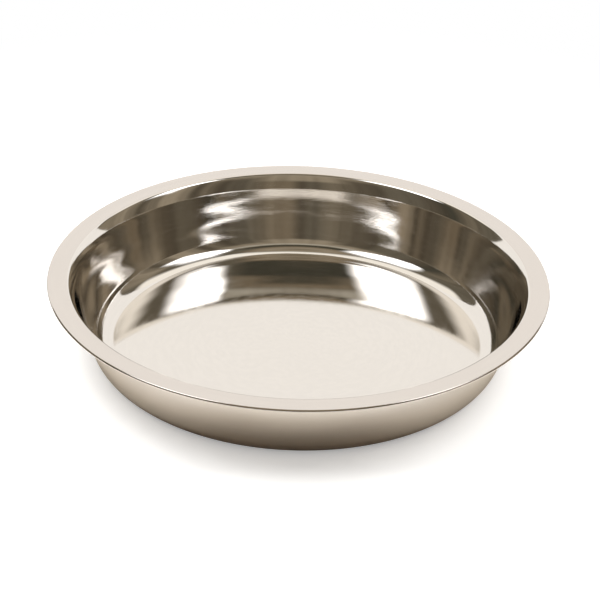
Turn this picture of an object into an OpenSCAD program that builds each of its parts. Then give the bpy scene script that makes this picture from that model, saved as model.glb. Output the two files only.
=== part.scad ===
// Shallow round feeding bowl, pressed from one sheet of stainless steel.
// The rim stands out flat, its edge is turned under, and the wall leans out
// and runs through a rounded corner into a flat floor.
// Origin: centre of the face that the bowl rests on. +Z up. Millimetres.

/* [Overall] */
// Outside diameter over the turned edge of the rim
rim_d = 280; // [250:1:320]
// Height from the resting face to the top of the rim
bowl_h = 45.5; // [40:0.5:56]
// Thickness of the steel sheet
sheet_t = 0.7; // [0.5:0.05:0.9]

/* [Rim] */
// Width of the flat rim, from its outer edge to the bend into the bowl
flange_w = 10; // [8:0.5:18]
// Clear gap between the rim and the edge turned under it
hem_gap = 0.3; // [0.2:0.05:0.6]
// Length of the edge that lies turned under the rim
hem_w = 4; // [2:0.5:6]

/* [Mouth] */
// Radius of the tight bend where the rim turns down
crease_r = 2.5; // [1.5:0.1:4]
// Angle that the tight bend turns through
crease_turn = 53; // [45:1:60]
// Radius of the wide bend that follows it into the wall
draw_r = 20; // [12:0.5:26]

/* [Wall and floor] */
// Lean of the wall away from upright, just below the mouth
wall_lean = 13.8; // [10:0.1:16]
// Radius of the slight belly of the wall, seen in section
belly_r = 260; // [200:5:400]
// Inside radius of the corner between the wall and the floor
corner_r = 13; // [9:0.5:18]

/* [Hidden] */
$fn = 180;
// Greatest turn between two neighbouring points of a bend
facet_turn = 7.5;
// Fewest facets that a bend is drawn with
facet_least = 4;

// Depth of the inside, from the top of the rim to the floor
inside_h = bowl_h - sheet_t;
// Radius of the turned edge, outside the fold
hem_r = sheet_t + hem_gap / 2;
// Angle that the wide bend turns through
draw_turn = 90 - wall_lean - crease_turn;
// Drop of the two bends at the mouth, on their upper side
mouth_drop = crease_r * (1 - cos(crease_turn))
    + draw_r * (cos(crease_turn) - sin(wall_lean));
// Lean of the wall where it meets the floor corner, which closes the height
foot_lean = asin((inside_h - mouth_drop + belly_r * sin(wall_lean) - corner_r)
    / (belly_r - corner_r));
// Reach of each bend from the start of the rim in to the flat floor
mouth_reach = crease_r * sin(crease_turn)
    + draw_r * (cos(wall_lean) - sin(crease_turn));
belly_reach = belly_r * (cos(wall_lean) - cos(foot_lean));
corner_reach = corner_r * cos(foot_lean);
// Radius of the flat floor
floor_r = rim_d / 2 - flange_w - mouth_reach - belly_reach - corner_reach;

// The sheet from the centre of the floor outwards, as [run, radius, turn].
// A bend has no run and a straight has no radius. Radii are those of the
// upper side. A bend up has a positive radius and turn, a bend down
// negative ones.
sheet_steps = [
    [floor_r, 0, 0],
    [0, corner_r, 90 - foot_lean],
    [0, belly_r, foot_lean - wall_lean],
    [0, -draw_r, -draw_turn],
    [0, -crease_r, -crease_turn],
    [flange_w - hem_r, 0, 0],
    [0, -hem_r, -180],
    [hem_w, 0, 0],
];

// Directions along the sheet and square to it, for a heading above level
function along(heading) = [cos(heading), sin(heading)];
function square_to(heading) = [-sin(heading), cos(heading)];

// Facets in one step of the sheet
function facets(step) = step[1] == 0 ? 1 : max(facet_least, ceil(abs(step[2]) / facet_turn));

// Where the upper side is after a share of a step, and its heading there
function place_after(step, at, heading, share) =
    let (turned = heading + step[2] * share)
    [at + step[0] * share * along(heading)
        + step[1] * (square_to(heading) - square_to(turned)), turned];

// Every place on the upper side, from one step of the sheet to its end
function places(at, heading, number = 0) = number == len(sheet_steps) ? [] :
    let (
        step = sheet_steps[number],
        count = facets(step),
        end = place_after(step, at, heading, 1)
    )
    concat(
        [for (facet = [1 : count]) place_after(step, at, heading, facet / count)],
        places(end[0], end[1], number + 1)
    );

// Half section of the bowl: the upper side outwards, the lower side back
module bowl_section() {
    start = [0, sheet_t];
    line = concat([[start, 0]], places(start, 0));
    upper = [for (place = line) place[0]];
    lower = [for (place = line) place[0] - sheet_t * square_to(place[1])];
    polygon(concat(upper, [for (i = [len(lower) - 1 : -1 : 0]) lower[i]]));
}

module bowl() {
    color("gainsboro") rotate_extrude() bowl_section();
}

bowl();
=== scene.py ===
"""Dresses the shallow pressed steel feeding bowl, and sets its studio and camera.

Every length is in metres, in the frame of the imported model: the origin is the
centre of the face that the bowl rests on, and +Z is up.
"""

import logging
import math
from dataclasses import dataclass, field
from enum import Enum

import bmesh
import bpy
from mathutils import Matrix, Vector


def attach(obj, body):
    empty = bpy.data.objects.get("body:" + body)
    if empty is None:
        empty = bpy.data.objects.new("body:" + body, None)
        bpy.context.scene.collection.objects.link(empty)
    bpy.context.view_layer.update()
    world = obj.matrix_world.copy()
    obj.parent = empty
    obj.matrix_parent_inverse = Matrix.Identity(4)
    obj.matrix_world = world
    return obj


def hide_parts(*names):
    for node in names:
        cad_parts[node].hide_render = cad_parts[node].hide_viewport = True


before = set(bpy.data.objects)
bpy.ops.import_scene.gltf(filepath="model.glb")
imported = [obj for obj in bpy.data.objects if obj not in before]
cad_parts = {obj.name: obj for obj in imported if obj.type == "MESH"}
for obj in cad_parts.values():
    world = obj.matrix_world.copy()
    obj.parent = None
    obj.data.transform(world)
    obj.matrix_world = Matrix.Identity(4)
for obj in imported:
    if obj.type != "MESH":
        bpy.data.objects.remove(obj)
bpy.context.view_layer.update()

LOG = logging.getLogger("feeding_bowl")
MM = 0.001
UM = 0.001 * MM
NODE = "bowl"
BODY = "root"

Colour = tuple[float, float, float]
Span = tuple[float, float]
Way = tuple[float, float]
Outputs = bpy.types.bpy_prop_collection

FULL_TURN = 360
QUARTER_TURN = 90
FULL_BYTE = 255
SRGB_KNEE = 0.04045
SRGB_SLOPE = 12.92
SRGB_LIFT = 0.055
SRGB_POWER = 2.4


def linear(red: int, green: int, blue: int) -> Colour:
    """Turns a display colour into the linear one that the nodes take.

    Args:
        red: Red from 0 to 255.
        green: Green from 0 to 255.
        blue: Blue from 0 to 255.

    Returns:
        The three linear values.
    """
    shades = (red / FULL_BYTE, green / FULL_BYTE, blue / FULL_BYTE)
    return tuple(s / SRGB_SLOPE if s <= SRGB_KNEE else ((s + SRGB_LIFT) / (1 + SRGB_LIFT)) ** SRGB_POWER
                 for s in shades)


def only(kind: type, geometry: list) -> list:
    """Picks the parts of one kind from what a mesh operator gives back."""
    return [part for part in geometry if isinstance(part, kind)]


class Zone(Enum):
    """The faces of the sheet that are finished alike, by material slot."""

    INSIDE = 0
    RIM = 1
    UNDERSIDE = 2


@dataclass(frozen=True)
class Grain:
    """How a noise looks.

    Attributes:
        detail: How many finer layers it has.
        roughness: How strong the finer layers are.
        scale: How fine it is.
    """

    detail: float = 2.0
    roughness: float = 0.5
    scale: float = 1.0


class NodeSheet:
    """A node tree that is being filled, with short calls for what is used most."""

    MIX_FACTOR = 0
    MIX_FIRST = 6
    MIX_SECOND = 7
    MIX_RESULT = 2

    def __init__(self, tree: bpy.types.NodeTree) -> None:
        """Keeps the tree, empty.

        Args:
            tree: The tree of a material, a world or a group.
        """
        self.tree = tree
        tree.nodes.clear()

    def add(self, kind: str, inputs: dict[str | int, object] | None = None,
            **settings: object) -> bpy.types.Node:
        """Adds a node.

        Args:
            kind: The node's type.
            inputs: A socket to link from, or a value, for each named input.
            settings: Properties of the node itself.

        Returns:
            The new node.
        """
        node = self.tree.nodes.new(kind)
        for name, value in settings.items():
            setattr(node, name, value)
        for name, value in (inputs or {}).items():
            self.feed(node.inputs[name], value)
        return node

    def feed(self, socket: bpy.types.NodeSocket, value: object) -> None:
        """Links a socket, or sets its value.

        Args:
            socket: The input that is fed.
            value: A socket to link from, or the value itself.
        """
        if isinstance(value, bpy.types.NodeSocket):
            self.tree.links.new(value, socket)
        elif isinstance(value, tuple) and len(value) == 3 and socket.type == "RGBA":
            socket.default_value = (*value, 1.0)
        else:
            socket.default_value = value

    def math(self, operation: str, *values: object, clamp: bool = False) -> bpy.types.NodeSocket:
        """Adds a Math node.

        Args:
            operation: The node's operation.
            values: Its inputs, in order.
            clamp: Whether the result stays between 0 and 1.

        Returns:
            The result's socket.
        """
        inputs = dict(enumerate(values))
        node = self.add("ShaderNodeMath", inputs, operation=operation, use_clamp=clamp)
        return node.outputs[0]

    def span(self, value: object, over: Span, to: Span = (0.0, 1.0),
             smooth: bool = True) -> bpy.types.NodeSocket:
        """Maps a stretch of values to another, and holds the ends.

        Args:
            value: What is mapped.
            over: The two ends of its stretch.
            to: What the ends become.
            smooth: Whether the ends are eased.

        Returns:
            The result's socket.
        """
        inputs = {"Value": value, "From Min": over[0], "From Max": over[1], "To Min": to[0], "To Max": to[1]}
        kind = "SMOOTHSTEP" if smooth else "LINEAR"
        return self.add("ShaderNodeMapRange", inputs, interpolation_type=kind).outputs["Result"]

    def mix(self, factor: object, first: object, second: object, blend: str = "MIX") -> bpy.types.NodeSocket:
        """Mixes two colours.

        Args:
            factor: How much of the second shows.
            first: The colour at 0.
            second: The colour at 1.
            blend: The node's way of blending.

        Returns:
            The mixed colour's socket.
        """
        inputs = {self.MIX_FACTOR: factor, self.MIX_FIRST: first, self.MIX_SECOND: second}
        node = self.add("ShaderNodeMix", inputs, data_type="RGBA", blend_type=blend)
        return node.outputs[self.MIX_RESULT]

    def ramp(self, value: object, stops: list[tuple[float, Colour]]) -> bpy.types.NodeSocket:
        """Adds a colour ramp.

        Args:
            value: Where on the ramp, from 0 to 1.
            stops: The place and linear colour of each stop, in order.

        Returns:
            The colour's socket.
        """
        node = self.add("ShaderNodeValToRGB", {"Fac": value})
        marks = node.color_ramp.elements
        while len(marks) < len(stops):
            marks.new(0.5)
        for mark, (place, colour) in zip(marks, stops):
            mark.position = place
            mark.color = (*colour, 1.0)
        return node.outputs["Color"]

    def noise(self, vector: object, grain: Grain) -> bpy.types.NodeSocket:
        """Adds a noise that is about 0.5 on average.

        Args:
            vector: Where it is read.
            grain: How it looks.

        Returns:
            The noise's socket.
        """
        inputs = {"Vector": vector, "Scale": grain.scale, "Detail": grain.detail,
                  "Roughness": grain.roughness}
        return self.add("ShaderNodeTexNoise", inputs).outputs["Fac"]

    def scaled(self, vector: object, factor: object) -> bpy.types.NodeSocket:
        """Scales a vector."""
        inputs = {0: vector, "Scale": factor}
        return self.add("ShaderNodeVectorMath", inputs, operation="SCALE").outputs["Vector"]

    def split(self, vector: object) -> Outputs:
        """Splits a vector into its X, Y and Z."""
        return self.add("ShaderNodeSeparateXYZ", {"Vector": vector}).outputs

    def join(self, x: object, y: object, z: object = 0.0) -> bpy.types.NodeSocket:
        """Joins three values into a vector."""
        return self.add("ShaderNodeCombineXYZ", {"X": x, "Y": y, "Z": z}).outputs[0]

    def surface(self, shader: bpy.types.NodeSocket) -> None:
        """Ends a material's tree with the shader that it shows."""
        self.add("ShaderNodeOutputMaterial", {"Surface": shader})

    def polar(self) -> dict[str, bpy.types.NodeSocket]:
        """Reads the place on the object round its axis.

        Returns:
            Sockets by name: point, x, y, z, reach from the axis, and the unit
            direction round it as a vector called bearing.
        """
        point = self.add("ShaderNodeTexCoord").outputs["Object"]
        parts = self.split(point)
        flat = self.join(parts["X"], parts["Y"])
        reach = self.add("ShaderNodeVectorMath", {0: flat}, operation="LENGTH").outputs["Value"]
        bearing = self.add("ShaderNodeVectorMath", {0: flat}, operation="NORMALIZE").outputs["Vector"]
        return {"point": point, "x": parts["X"], "y": parts["Y"], "z": parts["Z"],
                "reach": reach, "bearing": bearing}


def new_finish(title: str) -> tuple[bpy.types.Material, NodeSheet]:
    """Starts a material.

    Args:
        title: The material's name.

    Returns:
        The material, and the empty sheet of its nodes.
    """
    made = bpy.data.materials.new(title)
    made.use_nodes = True
    return made, NodeSheet(made.node_tree)


class EffectGroup:
    """An effect that several materials share, built once as a node group."""

    title = "effect"
    inputs: tuple[str, ...] = ()
    outputs: tuple[str, ...] = ()

    def tree(self) -> bpy.types.NodeTree:
        """Gives the group's node tree, and builds it the first time.

        Returns:
            The shared node tree.
        """
        known = bpy.data.node_groups.get(self.title)
        if known:
            return known
        tree = bpy.data.node_groups.new(self.title, "ShaderNodeTree")
        for name in self.inputs:
            tree.interface.new_socket(name, in_out="INPUT", socket_type="NodeSocketFloat")
        for name in self.outputs:
            tree.interface.new_socket(name, in_out="OUTPUT", socket_type="NodeSocketFloat")
        sheet = NodeSheet(tree)
        given = sheet.add("NodeGroupInput").outputs
        results = self.fill(sheet, given)
        sheet.add("NodeGroupOutput", results)
        return tree

    def fill(self, sheet: NodeSheet, given: Outputs) -> dict[str, object]:
        """Adds the nodes of the effect.

        Args:
            sheet: The group's sheet of nodes.
            given: The group's own inputs, by name.

        Returns:
            What each output gets, by name.
        """
        raise NotImplementedError

    def place(self, sheet: NodeSheet, **values: float) -> Outputs:
        """Puts the effect into a material.

        Args:
            sheet: The material's sheet of nodes.
            values: Values for the group's inputs, by name.

        Returns:
            The outputs of the placed group, by name.
        """
        node = sheet.add("ShaderNodeGroup", node_tree=self.tree())
        for name, value in values.items():
            node.inputs[name].default_value = value
        return node.outputs


class PolishLines(EffectGroup):
    """Fine lines that run round the bowl, left by the polishing wheel."""

    title = "polish_lines"
    inputs = ("Lines", "Arc")
    outputs = ("Height", "Tone")
    fine = Grain(detail=3.0, roughness=0.6)
    wide = Grain(detail=2.0, roughness=0.55)
    wide_share = 0.21

    def fill(self, sheet: NodeSheet, given: Outputs) -> dict[str, object]:
        """Adds the nodes of the lines.

        Args:
            sheet: The group's sheet of nodes.
            given: Lines per metre of the section, and how short their arcs are.

        Returns:
            The height of the lines, and their wider tone.
        """
        spot = sheet.polar()
        along = sheet.math("ADD", spot["reach"], spot["z"])
        arcs = sheet.split(sheet.scaled(spot["bearing"], given["Arc"]))
        fine = sheet.math("MULTIPLY", along, given["Lines"])
        wide = sheet.math("MULTIPLY", fine, self.wide_share)
        height = sheet.noise(sheet.join(fine, arcs["X"], arcs["Y"]), self.fine)
        tone = sheet.noise(sheet.join(wide, arcs["X"], arcs["Y"]), self.wide)
        return {"Height": height, "Tone": tone}


class PressWaves(EffectGroup):
    """The slight unevenness that pressing leaves in the sheet."""

    title = "press_waves"
    inputs = ("Folds", "Size")
    outputs = ("Height",)
    fold = Grain(detail=1.5, roughness=0.45)
    roll = Grain(detail=1.0, roughness=0.4)
    folds_up = 20.0
    wall_span = (100.0 * MM, 114.0 * MM)
    fold_share = 0.6
    middle = 0.5

    def fill(self, sheet: NodeSheet, given: Outputs) -> dict[str, object]:
        """Adds the nodes of the waves: folds on the wall alone, and rolls all over.

        Args:
            sheet: The group's sheet of nodes.
            given: How many folds stand round the wall, and the rolls per metre.

        Returns:
            The height of the waves.
        """
        spot = sheet.polar()
        turned = sheet.split(sheet.scaled(spot["bearing"], given["Folds"]))
        rise = sheet.math("MULTIPLY", spot["z"], self.folds_up)
        folds = sheet.noise(sheet.join(turned["X"], turned["Y"], rise), self.fold)
        on_wall = sheet.span(spot["reach"], self.wall_span)
        folds = sheet.math("MULTIPLY", sheet.math("SUBTRACT", folds, self.middle), on_wall)
        rolls = sheet.noise(sheet.scaled(spot["point"], given["Size"]), self.roll)
        rolls = sheet.math("SUBTRACT", rolls, self.middle)
        return {"Height": sheet.math("MULTIPLY_ADD", folds, self.fold_share, rolls)}


class Handling(EffectGroup):
    """Faint cloudy patches that hands and wiping leave on polished steel."""

    title = "handling"
    inputs = ("Size",)
    outputs = ("Cloud", "Speck")
    cloud = Grain(detail=4.0, roughness=0.6)
    speck = Grain(detail=2.0, roughness=0.6, scale=34.0)
    cloud_span = (0.35, 0.72)
    speck_span = (0.62, 0.78)

    def fill(self, sheet: NodeSheet, given: Outputs) -> dict[str, object]:
        """Adds the nodes of the patches.

        Args:
            sheet: The group's sheet of nodes.
            given: The patches per metre.

        Returns:
            The clouds, and the fine specks in them.
        """
        place = sheet.scaled(sheet.polar()["point"], given["Size"])
        return {"Cloud": sheet.span(sheet.noise(place, self.cloud), self.cloud_span),
                "Speck": sheet.span(sheet.noise(place, self.speck), self.speck_span)}


@dataclass(frozen=True)
class SteelFinish:
    """One finish of the steel sheet.

    Attributes:
        title: The material's name.
        steel: The metal's own colour.
        gloss: The roughness where it is cleanest.
        haze: How much the handled patches add to the roughness.
        line_depth: The height of the polish lines.
        wave_depth: The height of the press waves.
        line_tone: How far the lines change the metal's tone.
        unevenness: How far the gloss changes along the lines, as a share of it.
        arc: How short the arcs of the lines are.
        lines: The polish lines per metre.
        folds: How many folds stand round the wall.
        rolls: The rolls of the sheet per metre.
        patches: The handled patches per metre.
        dull_share: The share of its tone that the metal keeps under the patches.
        cloud_share: How much of the clouds shows in the colour.
        speck_share: How much of the haze the specks add again.
        tone_span: The stretch of the lines' tone that the colour follows.
        gloss_span: The stretch of the lines' tone that the gloss follows.
    """

    title: str
    steel: Colour
    gloss: float
    haze: float
    line_depth: float
    wave_depth: float
    line_tone: float
    unevenness: float
    arc: float = 3.2
    lines: float = 1700.0
    folds: float = 8.0
    rolls: float = 20.0
    patches: float = 15.0
    dull_share: float = 0.96
    cloud_share: float = 0.25
    speck_share: float = 0.6
    tone_span: Span = (0.38, 0.64)
    gloss_span: Span = (0.3, 0.7)

    def material(self) -> bpy.types.Material:
        """Builds the finish.

        Returns:
            The material.
        """
        made, sheet = new_finish(self.title)
        lines = PolishLines().place(sheet, Lines=self.lines, Arc=self.arc)
        waves = PressWaves().place(sheet, Folds=self.folds, Size=self.rolls)
        patches = Handling().place(sheet, Size=self.patches)
        shader = sheet.add("ShaderNodeBsdfPrincipled", {"Metallic": 1.0})
        sheet.feed(shader.inputs["Base Color"], self.colour(sheet, lines, patches))
        sheet.feed(shader.inputs["Roughness"], self.roughness(sheet, lines, patches))
        swell = sheet.add("ShaderNodeBump", {"Height": waves["Height"], "Strength": 1.0,
                                             "Distance": self.wave_depth})
        grain = sheet.add("ShaderNodeBump", {"Height": lines["Height"], "Strength": 1.0,
                                             "Distance": self.line_depth,
                                             "Normal": swell.outputs["Normal"]})
        sheet.feed(shader.inputs["Normal"], grain.outputs["Normal"])
        sheet.surface(shader.outputs["BSDF"])
        return made

    def colour(self, sheet: NodeSheet, lines: Outputs, patches: Outputs) -> bpy.types.NodeSocket:
        """Varies the metal's tone along the lines and under the patches.

        Args:
            sheet: The material's sheet of nodes.
            lines: The outputs of the polish lines.
            patches: The outputs of the handled patches.

        Returns:
            The colour's socket.
        """
        dim = tuple(part * (1.0 - self.line_tone) for part in self.steel)
        dull = tuple(part * self.dull_share for part in self.steel)
        lined = sheet.mix(sheet.span(lines["Tone"], self.tone_span), dim, self.steel)
        return sheet.mix(sheet.math("MULTIPLY", patches["Cloud"], self.cloud_share), lined, dull)

    def roughness(self, sheet: NodeSheet, lines: Outputs, patches: Outputs) -> bpy.types.NodeSocket:
        """Varies the gloss along the lines and under the patches.

        Args:
            sheet: The material's sheet of nodes.
            lines: The outputs of the polish lines.
            patches: The outputs of the handled patches.

        Returns:
            The roughness's socket.
        """
        glosses = (self.gloss * (1 - self.unevenness), self.gloss * (1 + self.unevenness))
        lined = sheet.span(lines["Tone"], self.gloss_span, glosses)
        clouded = sheet.math("MULTIPLY_ADD", patches["Cloud"], self.haze, lined)
        return sheet.math("MULTIPLY_ADD", patches["Speck"], self.haze * self.speck_share, clouded)


STEEL = (0.85, 0.82, 0.788)
RIM_STEEL = (0.79, 0.745, 0.71)
INSIDE_FINISH = SteelFinish(
    "mirror_steel", STEEL, gloss=0.052, haze=0.015, line_depth=6.0 * UM, wave_depth=4.0 * UM,
    line_tone=0.02, unevenness=0.5, arc=8.0)
RIM_FINISH = SteelFinish(
    "rim_steel", RIM_STEEL, gloss=0.126, haze=0.04, line_depth=0.6 * UM, wave_depth=4.0 * UM,
    line_tone=0.02, unevenness=0.4)
UNDERSIDE_FINISH = SteelFinish(
    "underside_steel", STEEL, gloss=0.21, haze=0.03, line_depth=0.3 * UM, wave_depth=10.0 * UM,
    line_tone=0.012, unevenness=0.08)


@dataclass
class PressedBowl:
    """The whole bowl: one sheet of steel, pressed, trimmed and turned under at its edge.

    The sizes are those of the solid model, and the section runs as it does
    there, along the side of the sheet that the food touches. The rounding of
    the cut edge and the faint press rings are this piece's own.
    """

    rim_d: float = 280.0 * MM
    height: float = 45.5 * MM
    sheet_t: float = 0.7 * MM
    flange_w: float = 10.0 * MM
    hem_gap: float = 0.3 * MM
    hem_w: float = 4.0 * MM
    crease_r: float = 2.5 * MM
    crease_turn: float = math.radians(53.0)
    draw_r: float = 20.0 * MM
    wall_lean: float = math.radians(13.8)
    belly_r: float = 260.0 * MM
    corner_r: float = 13.0 * MM
    floor_shares: tuple[float, ...] = (0.25, 0.3, 0.25, 0.2)
    corner_steps: int = 34
    belly_steps: int = 36
    draw_steps: int = 14
    crease_steps: int = 16
    hem_steps: int = 16
    tangent_w: float = 0.4 * MM
    tangent_share: float = 0.25
    merge_reach: float = 0.1 * UM
    cut_round: float = 0.15 * MM
    cut_steps: int = 2
    cut_angle: float = math.radians(60.0)
    inside_share: float = 0.4
    ring_pitch: float = 13.0 * MM
    ring_depth: float = 0.026 * MM
    ring_side: float = math.radians(-38.0)
    ring_far_share: float = 0.2
    ring_focus: int = 3
    ring_sway: float = 0.8
    ring_ease: float = 0.6
    ring_foot_share: float = 0.7
    ring_top_share: float = 0.3
    steps_round: int = 256
    title: str = "bowl_sheet"
    mesh: bmesh.types.BMesh = field(default_factory=bmesh.new)

    @property
    def mouth_r(self) -> float:
        """The radius at which the flat rim starts."""
        return self.rim_d / 2 - self.flange_w

    @property
    def hem_r(self) -> float:
        """The outer radius of the turned-under edge."""
        return self.sheet_t + self.hem_gap / 2

    @property
    def draw_turn(self) -> float:
        """How far the wide bend below the mouth turns."""
        return math.pi / 2 - self.wall_lean - self.crease_turn

    @property
    def foot_lean(self) -> float:
        """How far the wall leans where the floor corner ends, so that the height comes out."""
        mouth_drop = (self.crease_r * (1 - math.cos(self.crease_turn))
                      + self.draw_r * (math.cos(self.crease_turn) - math.sin(self.wall_lean)))
        left = self.height - self.sheet_t - mouth_drop
        return math.asin((left + self.belly_r * math.sin(self.wall_lean) - self.corner_r)
                         / (self.belly_r - self.corner_r))

    @property
    def floor_r(self) -> float:
        """The radius of the flat floor."""
        bends = (self.crease_r * math.sin(self.crease_turn)
                 + self.draw_r * (math.cos(self.wall_lean) - math.sin(self.crease_turn)))
        belly = self.belly_r * (math.cos(self.wall_lean) - math.cos(self.foot_lean))
        corner = self.corner_r * math.cos(self.foot_lean)
        return self.mouth_r - bends - belly - corner

    def straight(self, tip: bmesh.types.BMVert, length: float, heading: float) -> bmesh.types.BMVert:
        """Draws a straight stretch of the section, with a short run before each end.

        The short runs hold the shading true where a bend starts.

        Args:
            tip: The section's last point.
            length: How long the stretch is.
            heading: Its angle above level, outwards.

        Returns:
            The new last point.
        """
        ahead = Vector((math.cos(heading), 0.0, math.sin(heading)))
        short = min(self.tangent_w, length * self.tangent_share)
        for run in (short, length - 2 * short, short):
            grown = bmesh.ops.extrude_vert_indiv(self.mesh, verts=[tip])
            tip = grown["verts"][0]
            bmesh.ops.translate(self.mesh, verts=[tip], vec=ahead * run)
        return tip

    def bend(self, tip: bmesh.types.BMVert, radius: float, turn: float, heading: float,
             steps: int) -> bmesh.types.BMVert:
        """Draws a round bend of the section.

        Args:
            tip: The section's last point.
            radius: The bend's radius, positive to the left and negative to the right.
            turn: How far it turns, with the same sign.
            heading: The angle above level at which it starts.
            steps: How many short runs it has.

        Returns:
            The new last point.
        """
        to_centre = Vector((-math.sin(heading), 0.0, math.cos(heading)))
        swept = bmesh.ops.spin(self.mesh, geom=[tip], cent=tip.co + to_centre * radius,
                               axis=(0.0, -1.0, 0.0), angle=turn, steps=steps)
        return only(bmesh.types.BMVert, swept["geom_last"])[0]

    def draw_section(self) -> None:
        """Draws the inner side of the sheet, from the axis to the cut edge under the rim."""
        lean = math.pi / 2 - self.foot_lean
        rise = math.pi / 2 - self.wall_lean
        tip = self.mesh.verts.new((0.0, 0.0, self.sheet_t))
        for share in self.floor_shares:
            tip = self.straight(tip, self.floor_r * share, 0.0)
        tip = self.bend(tip, self.corner_r, lean, 0.0, self.corner_steps)
        tip = self.bend(tip, self.belly_r, rise - lean, lean, self.belly_steps)
        tip = self.bend(tip, -self.draw_r, -self.draw_turn, rise, self.draw_steps)
        tip = self.bend(tip, -self.crease_r, -self.crease_turn, self.crease_turn, self.crease_steps)
        tip = self.straight(tip, self.flange_w - self.hem_r, 0.0)
        tip = self.bend(tip, -self.hem_r, -math.pi, 0.0, self.hem_steps)
        self.straight(tip, self.hem_w, math.pi)

    def spin_sheet(self) -> None:
        """Spins the section into the inner side, closed at its middle, facing up and in."""
        bm = self.mesh
        bmesh.ops.spin(bm, geom=bm.verts[:] + bm.edges[:], cent=(0.0, 0.0, 0.0), axis=(0.0, 0.0, 1.0),
                       angle=2 * math.pi, steps=self.steps_round, use_merge=True)
        bmesh.ops.remove_doubles(bm, verts=bm.verts[:], dist=self.merge_reach)
        bmesh.ops.recalc_face_normals(bm, faces=bm.faces[:])
        middle = min(bm.faces, key=lambda face: face.calc_center_median().length)
        if middle.normal.z < 0.0:
            bmesh.ops.reverse_faces(bm, faces=bm.faces[:])
        bm.normal_update()

    def press_rings(self) -> None:
        """Adds the faint rings that the press leaves in the wall.

        They ease out towards the foot and the mouth, fade across from their
        deepest side, and sway a little up and down on the way round.
        """
        bm = self.mesh
        corner_top = self.sheet_t + self.corner_r * (1 - math.sin(self.foot_lean))
        foot = corner_top * self.ring_foot_share
        top = self.height - self.crease_r - self.draw_r * self.ring_top_share
        moves = {}
        for vert in bm.verts:
            up = (vert.co.z - foot) / (top - foot)
            if vert.co.xy.length < self.floor_r or not 0.0 < up < 1.0:
                continue
            bearing = math.atan2(vert.co.x, vert.co.y)
            near = (1 + math.cos(bearing - self.ring_side)) / 2
            strength = self.ring_far_share + (1 - self.ring_far_share) * near ** self.ring_focus
            ease = math.sin(math.pi * up) ** self.ring_ease
            turn = 2 * math.pi * (vert.co.z - corner_top) / self.ring_pitch
            wave = math.sin(turn + self.ring_sway * math.sin(2 * bearing))
            moves[vert] = vert.normal * (self.ring_depth * ease * strength * wave)
        for vert, move in moves.items():
            vert.co += move
        bm.normal_update()

    def paint_zone(self, face: bmesh.types.BMFace) -> Zone:
        """Says how an inner face of the sheet is finished.

        Args:
            face: A face of the sheet before it has a thickness.

        Returns:
            Its zone.
        """
        reach = face.calc_center_median().xy.length
        return Zone.INSIDE if reach < self.mouth_r - self.crease_r * self.inside_share else Zone.RIM

    def thicken(self) -> None:
        """Gives the sheet its thickness downwards, and rounds the cut edge a little."""
        bm = self.mesh
        upper = set(bm.faces)
        for face in upper:
            face.material_index = self.paint_zone(face).value
        bmesh.ops.solidify(bm, geom=bm.faces[:], thickness=self.sheet_t)
        for face in bm.faces:
            if face not in upper:
                face.material_index = Zone.UNDERSIDE.value
        bm.normal_update()
        cut = [edge for edge in bm.edges if edge.calc_face_angle(0.0) > self.cut_angle]
        bmesh.ops.bevel(bm, geom=cut, offset=self.cut_round, segments=self.cut_steps, affect="EDGES",
                        profile=0.5, material=-1)

    def build(self) -> bpy.types.Object:
        """Makes the bowl's mesh and its object.

        Returns:
            The undressed bowl.
        """
        self.draw_section()
        self.spin_sheet()
        self.press_rings()
        self.thicken()
        data = bpy.data.meshes.new(self.title)
        self.mesh.to_mesh(data)
        self.mesh.free()
        data.shade_smooth()
        piece = bpy.data.objects.new(self.title, data)
        bpy.context.scene.collection.objects.link(piece)
        even = piece.modifiers.new("even_shading", "WEIGHTED_NORMAL")
        even.mode = "FACE_AREA"
        even.keep_sharp = True
        return piece

    def dress(self, piece: bpy.types.Object) -> None:
        """Gives the bowl its finishes, and puts it on the frame.

        Args:
            piece: The bowl.
        """
        for finish in (INSIDE_FINISH, RIM_FINISH, UNDERSIDE_FINISH):
            piece.data.materials.append(finish.material())
        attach(piece, BODY)
        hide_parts(NODE)


def way_to(bearing: float, rise: float) -> Vector:
    """Gives the direction from the bowl to a place on the set.

    Args:
        bearing: Degrees from straight behind the bowl, clockwise from above.
        rise: Degrees above level.

    Returns:
        The unit vector.
    """
    turn = math.radians(bearing)
    lift = math.radians(rise)
    return Vector((math.sin(turn) * math.cos(lift), math.cos(turn) * math.cos(lift), math.sin(lift)))


def show_only_to_gloss(card: bpy.types.Object) -> None:
    """Lets only the shine of the metal see a card, so that it neither lights nor shades.

    Args:
        card: A piece of the stage.
    """
    card.visible_camera = False
    card.visible_diffuse = False
    card.visible_transmission = False
    card.visible_volume_scatter = False
    card.visible_shadow = False


def stand_on_stage(title: str, shape: bmesh.types.BMesh, finish: bpy.types.Material) -> bpy.types.Object:
    """Makes an object of a finished mesh, and links it to the scene.

    Args:
        title: The object's name.
        shape: Its mesh, which is used up.
        finish: Its material.

    Returns:
        The object.
    """
    data = bpy.data.meshes.new(title)
    shape.to_mesh(data)
    shape.free()
    data.materials.append(finish)
    thing = bpy.data.objects.new(title, data)
    bpy.context.scene.collection.objects.link(thing)
    return thing


def glow(title: str, colour: Colour, strength: float) -> bpy.types.Material:
    """Makes a card's plain glow.

    Args:
        title: The material's name.
        colour: The linear colour.
        strength: How bright it is; 1 shows the colour as written.

    Returns:
        The material.
    """
    made, sheet = new_finish(title)
    light = sheet.add("ShaderNodeEmission", {"Color": colour, "Strength": strength})
    sheet.surface(light.outputs[0])
    return made


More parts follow.
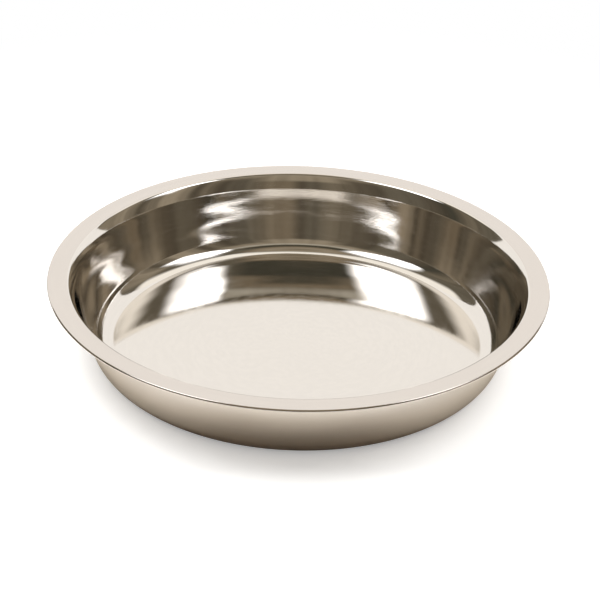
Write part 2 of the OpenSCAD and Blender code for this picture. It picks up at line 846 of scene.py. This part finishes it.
@dataclass
class SoftLamp:
    """A soft lamp: an area light for the set, and the white panel that the metal shows.

    The panel's corners are given by their bearing from straight behind the
    bowl, clockwise from above, and their rise above level, in degrees: for
    each corner where the glow ends, then where it is full.
    """

    title: str
    corners: tuple[tuple[Way, Way], ...]
    power: float
    reach: float = 1.4
    brightness: float = 3.0
    fade_power: float = 2.0
    light_width: float = 0.9
    light_height: float = 0.5

    def glow(self) -> bpy.types.Material:
        """Makes the panel's glow, which fades out towards its border.

        Returns:
            The material.
        """
        made, sheet = new_finish(self.title + "_glow")
        fade = sheet.add("ShaderNodeAttribute", attribute_name="fade").outputs["Fac"]
        soft = sheet.math("POWER", fade, self.fade_power)
        light = sheet.add("ShaderNodeEmission", {"Strength": self.brightness})
        clear = sheet.add("ShaderNodeBsdfTransparent")
        both = sheet.add("ShaderNodeMixShader", {0: soft, 1: clear.outputs[0], 2: light.outputs[0]})
        sheet.surface(both.outputs[0])
        return made

    def corner_points(self) -> tuple[list[Vector], list[Vector]]:
        """Gives the corners of the panel, on one plane that faces the bowl.

        Returns:
            Where the glow ends, and where it is full, each in order.
        """
        ends = [way_to(*end) for end, _ in self.corners]
        fulls = [way_to(*full) for _, full in self.corners]
        facing = sum(ends, Vector()).normalized()
        return tuple([way * (self.reach / way.dot(facing)) for way in ways] for ways in (ends, fulls))

    def panel(self, ends: list[Vector], fulls: list[Vector]) -> bmesh.types.BMesh:
        """Makes the panel: a full middle, and a border in which the glow fades.

        Args:
            ends: Where the glow ends.
            fulls: Where it is full.

        Returns:
            The panel's mesh.
        """
        shape = bmesh.new()
        fade = shape.verts.layers.float.new("fade")
        tips = [bmesh.ops.create_vert(shape, co=point)["vert"][0] for point in ends]
        for last, tip in zip(tips[-1:] + tips[:-1], tips):
            bmesh.ops.contextual_create(shape, geom=[last, tip])
        grown = bmesh.ops.extrude_edge_only(shape, edges=shape.edges[:])["geom"]
        for vert in only(bmesh.types.BMVert, grown):
            corner = min(range(len(ends)), key=lambda place: (ends[place] - vert.co).length)
            vert.co = fulls[corner]
            vert[fade] = 1.0
        bmesh.ops.contextual_create(shape, geom=only(bmesh.types.BMEdge, grown))
        return shape

    def build(self) -> None:
        """Makes the light and its panel."""
        ends, fulls = self.corner_points()
        centre = sum(ends, Vector()) / len(ends)
        light = bpy.data.lights.new(self.title, "AREA")
        light.shape = "RECTANGLE"
        light.size = self.light_width
        light.size_y = self.light_height
        light.energy = self.power
        lamp = bpy.data.objects.new(self.title, light)
        facing = (-centre).to_track_quat("-Z", "Y").to_matrix().to_4x4()
        lamp.matrix_world = Matrix.Translation(centre) @ facing
        lamp.visible_glossy = False
        lamp.visible_camera = False
        bpy.context.scene.collection.objects.link(lamp)
        show_only_to_gloss(stand_on_stage(self.title + "_panel", self.panel(ends, fulls), self.glow()))


@dataclass
class Floor:
    """The pale table that the bowl stands on, white far from it.

    The metal mirrors the table with painted shade and light that the eye does not see: a painted shadow at
    the foot of the bowl, painted light beyond it, and painted shade again past its edge. Reaches
    are from the middle of the bowl, and stretches beside it are along X.
    """

    reach: float = 6.0
    sides: int = 96
    shade: Colour = linear(250, 249, 247)
    fibre: Grain = Grain(scale=420.0)
    fibre_span: Span = (0.3, 0.7)
    fibre_share: float = 0.97
    plain_span: Span = (0.16, 0.48)
    eye_lift: float = 0.31
    # Painted shadow and light in the table as the metal mirrors it: dark at the bowl's foot, lit beyond,
    # dark again past its edge
    painted_foot_shadow: Colour = (0.33, 0.27, 0.21)
    painted_foot_half_shadow: Colour = (0.80, 0.73, 0.63)
    painted_foot_light: Colour = (1.10, 1.05, 0.99)
    painted_edge_shade: Colour = (0.20, 0.165, 0.13)
    shadow_to: float = 0.117
    half_shadow_at: float = 0.137
    lit_from: float = 0.160
    edge_span: Span = (0.171, 0.188)
    beside_span: Span = (0.03, 0.10)
    painted_shadow_side_shift: float = 0.013
    painted_light_span: Span = (0.135, 0.165)
    painted_light_lift: float = 0.46
    painted_side_light: float = 1.9

    def painted_mirror_shading(self, sheet: NodeSheet, reach: bpy.types.NodeSocket,
                 aside: bpy.types.NodeSocket) -> bpy.types.NodeSocket:
        """Paints shade and light on the table as the metal mirrors it.

        Args:
            sheet: The material's sheet of nodes.
            reach: How far the place is from the middle of the bowl.
            aside: How far it is to the side.

        Returns:
            The painted shade's socket.
        """
        stops = ((self.shadow_to, self.painted_foot_shadow), (self.half_shadow_at, self.painted_foot_half_shadow),
                 (self.lit_from, self.painted_foot_light))
        # The painted shadow starts nearer to the bowl at its sides
        shifted = sheet.math("ADD", reach, sheet.span(aside, self.beside_span, (0.0, self.painted_shadow_side_shift)))
        foot = sheet.ramp(sheet.math("DIVIDE", shifted, self.lit_from),
                          [(place / self.lit_from, shade) for place, shade in stops])
        return sheet.mix(sheet.span(reach, self.edge_span), foot, self.painted_edge_shade)

    def shine(self, sheet: NodeSheet, reach: bpy.types.NodeSocket,
              aside: bpy.types.NodeSocket) -> bpy.types.NodeSocket:
        """Paints light on the open table round the bowl where the metal mirrors it, most beside it.

        Args:
            sheet: The material's sheet of nodes.
            reach: How far the place is from the middle of the bowl.
            aside: How far it is to the side.

        Returns:
            The painted light's socket.
        """
        started = sheet.span(reach, self.painted_light_span, (0.0, self.painted_light_lift))
        open_table = sheet.math("MULTIPLY", started, sheet.span(reach, self.edge_span, (1.0, 0.0)))
        beside = sheet.span(aside, self.beside_span, (1.0, self.painted_side_light))
        return sheet.math("MULTIPLY", open_table, beside)

    def finish(self) -> bpy.types.Material:
        """Builds the table's finish: matt near the bowl, and plain white far from it. Near the bowl, the
        metal's shine sees painted shade and painted light on it.

        Returns:
            The material.
        """
        made, sheet = new_finish("table_white")
        spot = sheet.polar()
        aside = sheet.math("ABSOLUTE", spot["x"])
        path = sheet.add("ShaderNodeLightPath").outputs
        seen = sheet.math("ADD", path["Is Camera Ray"], path["Is Transmission Ray"], clamp=True)
        fibres = sheet.span(sheet.noise(spot["point"], self.fibre), self.fibre_span)
        tone = sheet.mix(fibres, tuple(part * self.fibre_share for part in self.shade), self.shade)
        # Painted shade and light: only glossy rays see the table darkened at the bowl's foot and past its
        # edge, and lit beyond
        painted_mirror_tone = self.painted_mirror_shading(sheet, spot["reach"], aside)
        shown = sheet.mix(path["Is Glossy Ray"], tone, painted_mirror_tone, blend="MULTIPLY")
        matt = sheet.add("ShaderNodeBsdfDiffuse", {"Color": shown})
        # Painted light: the table glows more for glossy rays round the bowl, most beside it
        shine = sheet.math("MULTIPLY", path["Is Glossy Ray"], self.shine(sheet, spot["reach"], aside))
        strength = sheet.math("MULTIPLY_ADD", seen, self.eye_lift, shine)
        lift = sheet.add("ShaderNodeEmission", {"Strength": strength})
        near = sheet.add("ShaderNodeAddShader", {0: matt.outputs[0], 1: lift.outputs[0]})
        white = sheet.add("ShaderNodeEmission", {"Strength": 1.0})
        far = sheet.math("MULTIPLY", sheet.span(spot["reach"], self.plain_span), seen)
        both = sheet.add("ShaderNodeMixShader", {0: far, 1: near.outputs[0], 2: white.outputs[0]})
        sheet.surface(both.outputs[0])
        return made

    def build(self) -> None:
        """Makes the table."""
        shape = bmesh.new()
        bmesh.ops.create_circle(shape, cap_ends=True, segments=self.sides, radius=self.reach)
        stand_on_stage("table", shape, self.finish())


@dataclass
class Backdrop:
    """The pale sheet that leans away behind the bowl, as the metal shows it."""

    half_width: float = 0.60
    foot_y: float = 0.30
    lean: float = 0.55
    top_z: float = 0.95
    shade: Colour = linear(252, 248, 242)
    brightness: float = 1.03

    def build(self) -> None:
        """Makes the sheet."""
        shape = bmesh.new()
        start = shape.verts.new((-self.half_width, self.foot_y, 0.0))
        grown = bmesh.ops.extrude_vert_indiv(shape, verts=[start])
        bmesh.ops.translate(shape, verts=grown["verts"], vec=(0.0, self.lean * self.top_z, self.top_z))
        swept = bmesh.ops.extrude_edge_only(shape, edges=shape.edges[:])
        moved = only(bmesh.types.BMVert, swept["geom"])
        bmesh.ops.translate(shape, verts=moved, vec=(2 * self.half_width, 0.0, 0.0))
        shine = glow("backdrop_pale", self.shade, self.brightness)
        show_only_to_gloss(stand_on_stage("backdrop", shape, shine))


class Tone(Enum):
    """The dull tones that stand round the set for the polished metal to mirror, as display colours."""

    DARK = (58, 50, 40)
    DEEP = (70, 68, 58)
    DUSK = (88, 80, 67)
    DIM = (105, 98, 84)
    MIDDLE = (119, 109, 92)
    SOFT = (136, 122, 101)
    PALE = (154, 142, 122)
    BRIGHT = (186, 181, 167)
    WHITE = (250, 244, 233)

    @property
    def colour(self) -> Colour:
        """The tone as the nodes take it."""
        return linear(*self.value)


@dataclass
class Surroundings:
    """The dim surroundings of the set, as a dome that only the shine of the metal sees.

    Upright bands fill its lower part. Level bands fill the upper part on the
    camera's side and overhead, and reach lower right behind the camera. Faint
    streaks darken them, and a white gap opens between the lamps. Spans are in
    degrees: a rise is above level, and what is aside is counted from straight
    behind the bowl, to either side.
    """

    radius: float = 2.4
    segments: int = 96
    foot_gap: float = 2.0 * MM
    side_aside: Span = (105.0, 135.0)
    overhead_rise: Span = (72.0, 80.0)
    upper_rise: Span = (38.0, 52.0)
    camera_aside: Span = (150.0, 166.0)
    camera_rise: Span = (25.0, 34.0)
    streak: Grain = Grain(detail=3.0, roughness=0.6)
    streaks_round: float = 9.0
    streak_span: Span = (0.36, 0.66)
    streak_rise: Span = (20.0, 60.0)
    streak_shares: Span = (0.34, 0.10)
    gap_aside: Span = (45.0, 64.0)
    gap_top: Span = (70.0, 79.0)
    gap_foot: Span = (40.0, 46.0)
    gap_glow: float = 1.1

    def low_tones(self, sheet: NodeSheet, bearing: bpy.types.NodeSocket) -> bpy.types.NodeSocket:
        """Paints the lower part, from level to half way up, as upright bands.

        Args:
            sheet: The material's sheet of nodes.
            bearing: Degrees from straight behind the bowl.

        Returns:
            The colour's socket.
        """
        bands = (
            (-180, Tone.DUSK), (-172, Tone.DIM), (-163, Tone.MIDDLE), (-142, Tone.DUSK), (-130, Tone.DIM),
            (-116, Tone.DIM), (-106, Tone.DUSK), (-94, Tone.DEEP), (-84, Tone.MIDDLE), (-70, Tone.DIM),
            (52, Tone.DIM), (66, Tone.PALE), (80, Tone.PALE), (88, Tone.DUSK), (104, Tone.PALE),
            (114, Tone.PALE), (122, Tone.DUSK), (129, Tone.MIDDLE), (137, Tone.DUSK), (150, Tone.DIM),
            (171, Tone.SOFT), (180, Tone.DUSK),
        )
        share = sheet.math("MULTIPLY_ADD", bearing, 1 / FULL_TURN, 0.5)
        return sheet.ramp(share, [(turn / FULL_TURN + 0.5, tone.colour) for turn, tone in bands])

    def high_tones(self, sheet: NodeSheet, rise: bpy.types.NodeSocket) -> bpy.types.NodeSocket:
        """Paints the part behind the camera, up to overhead, as level bands.

        Args:
            sheet: The material's sheet of nodes.
            rise: Degrees above level.

        Returns:
            The colour's socket.
        """
        bands = (
            (0, Tone.DIM), (20, Tone.DIM), (34, Tone.PALE), (53, Tone.PALE), (59.6, Tone.BRIGHT),
            (61.6, Tone.MIDDLE), (62.8, Tone.SOFT), (64.6, Tone.DEEP), (70, Tone.DEEP), (76, Tone.SOFT),
            (82, Tone.PALE), (90, Tone.MIDDLE),
        )
        share = sheet.math("MULTIPLY", rise, 1 / QUARTER_TURN)
        return sheet.ramp(share, [(level / QUARTER_TURN, tone.colour) for level, tone in bands])

    def streaked(self, sheet: NodeSheet, tones: bpy.types.NodeSocket, way: bpy.types.NodeSocket,
                 rise: bpy.types.NodeSocket) -> bpy.types.NodeSocket:
        """Darkens the tones along upright streaks, which thin out upwards.

        Args:
            sheet: The material's sheet of nodes.
            tones: The tones so far.
            way: The unit direction round the bowl.
            rise: Degrees above level.

        Returns:
            The colour's socket.
        """
        noise = sheet.noise(sheet.scaled(way, self.streaks_round), self.streak)
        streaks = sheet.span(noise, self.streak_span)
        share = sheet.span(rise, self.streak_rise, self.streak_shares)
        return sheet.mix(sheet.math("MULTIPLY", streaks, share), tones, Tone.DARK.colour)

    def finish(self) -> bpy.types.Material:
        """Builds the dome's tones, by the direction seen from the bowl.

        Returns:
            The material.
        """
        made, sheet = new_finish("surrounding_tones")
        spot = sheet.polar()
        height = sheet.math("DIVIDE", spot["z"], self.radius)
        rise = sheet.math("DEGREES", sheet.math("ARCSINE", height))
        bearing = sheet.math("DEGREES", sheet.math("ARCTAN2", spot["x"], spot["y"]))
        aside = sheet.math("ABSOLUTE", bearing)
        low = self.low_tones(sheet, bearing)
        high = self.high_tones(sheet, rise)
        upper = sheet.mix(sheet.span(aside, self.side_aside), Tone.DIM.colour, high)
        upper = sheet.mix(sheet.span(rise, self.overhead_rise), upper, high)
        camera = sheet.math("MULTIPLY", sheet.span(aside, self.camera_aside),
                            sheet.span(rise, self.camera_rise))
        up = sheet.math("MAXIMUM", sheet.span(rise, self.upper_rise), camera)
        tones = self.streaked(sheet, sheet.mix(up, low, upper), spot["bearing"], rise)
        gap = sheet.math("MULTIPLY", sheet.span(aside, self.gap_aside, (1.0, 0.0)),
                         sheet.span(rise, self.gap_top, (1.0, 0.0)))
        gap = sheet.math("MULTIPLY", gap, sheet.span(rise, self.gap_foot))
        lit = sheet.mix(gap, tones, tuple(part * self.gap_glow for part in Tone.WHITE.colour))
        light = sheet.add("ShaderNodeEmission", {"Color": lit, "Strength": 1.0})
        sheet.surface(light.outputs[0])
        return made

    def build(self) -> None:
        """Makes the dome."""
        shape = bmesh.new()
        bmesh.ops.create_uvsphere(shape, u_segments=self.segments, v_segments=self.segments // 2,
                                  radius=self.radius)
        bmesh.ops.bisect_plane(shape, geom=shape.verts[:] + shape.edges[:] + shape.faces[:],
                               plane_co=(0.0, 0.0, self.foot_gap), plane_no=(0.0, 0.0, 1.0),
                               clear_inner=True)
        show_only_to_gloss(stand_on_stage("surroundings", shape, self.finish()))


@dataclass
class Studio:
    """The whole set round the bowl."""

    world_level: float = 0.45
    lamps: tuple[SoftLamp, ...] = (
        SoftLamp("lamp_right", (
            ((50, 60), (88, 59)), ((52, 69), (84, 63)), ((106, 68), (104, 64)), ((124, 62), (117, 61)),
            ((121, 50), (113, 50)), ((105, 32), (100, 39)), ((84, 32), (90, 39)), ((76, 48), (90, 49)),
        ), power=9.5),
        SoftLamp("lamp_left", (
            ((-46, 62), (-80, 61)), ((-50, 75), (-80, 69)), ((-122, 78), (-112, 71)),
            ((-136, 68), (-121, 67)), ((-134, 58), (-121, 59)), ((-114, 44), (-106, 48)),
            ((-103, 38), (-100, 43)), ((-92, 38), (-95, 43)), ((-76, 51), (-85, 54)),
        ), power=11.5),
    )

    def light_world(self) -> None:
        """Makes the world: white to look at, and an even soft light for matt surfaces."""
        world = bpy.data.worlds.new("studio")
        world.use_nodes = True
        sheet = NodeSheet(world.node_tree)
        path = sheet.add("ShaderNodeLightPath").outputs
        direct = sheet.math("ADD", path["Is Camera Ray"], path["Is Glossy Ray"])
        seen = sheet.math("ADD", direct, path["Is Transmission Ray"], clamp=True)
        level = sheet.span(seen, (0.0, 1.0), (self.world_level, 1.0), smooth=False)
        sky = sheet.add("ShaderNodeBackground", {"Color": (1.0, 1.0, 1.0), "Strength": level})
        sheet.add("ShaderNodeOutputWorld", {"Surface": sky.outputs[0]})
        bpy.context.scene.world = world

    def build(self) -> None:
        """Sets up the world, the table, the backdrop, the surroundings and the lamps."""
        self.light_world()
        Floor().build()
        Backdrop().build()
        Surroundings().build()
        for lamp in self.lamps:
            lamp.build()


@dataclass(frozen=True)
class PhotoCamera:
    """The camera, as fitted to the outlines of the rim, the mouth, the floor and the body."""

    focal: float = 132.642
    sensor_w: float = 36.0
    clip_start: float = 10.0 * MM
    distance: float = 1.2364
    aim_z: float = 0.0455
    elevation: float = math.radians(28.975)
    yaw: float = math.radians(0.050)
    pitch: float = math.radians(-0.624)
    roll: float = math.radians(1.689)

    def build(self) -> None:
        """Makes the camera, and makes it the scene's own."""
        data = bpy.data.cameras.new("camera")
        data.sensor_fit = "HORIZONTAL"
        data.sensor_width = self.sensor_w
        data.lens = self.focal
        data.clip_start = self.clip_start
        camera = bpy.data.objects.new("camera", data)
        stand = Matrix.Translation((0.0, -self.distance * math.cos(self.elevation),
                                    self.aim_z + self.distance * math.sin(self.elevation)))
        tilt = Matrix.Rotation(math.pi / 2 - self.elevation, 4, "X")
        small = (Matrix.Rotation(-self.yaw, 4, "Y") @ Matrix.Rotation(self.pitch, 4, "X")
                 @ Matrix.Rotation(self.roll, 4, "Z"))
        camera.matrix_world = stand @ tilt @ small
        bpy.context.scene.collection.objects.link(camera)
        bpy.context.scene.camera = camera


def main() -> None:
    """Builds the camera, the set and the bowl, and reports each."""
    logging.basicConfig(level=logging.INFO, format="%(name)s: %(message)s")
    bpy.context.scene.view_settings.view_transform = "Standard"
    PhotoCamera().build()
    LOG.info("camera placed")
    Studio().build()
    LOG.info("studio placed")
    bowl = PressedBowl()
    piece = bowl.build()
    bowl.dress(piece)
    LOG.info("piece %s: %d faces, flat floor %.2f mm across", piece.name, len(piece.data.polygons),
             bowl.floor_r * 2 / MM)


if __name__ == "__main__":
    main()
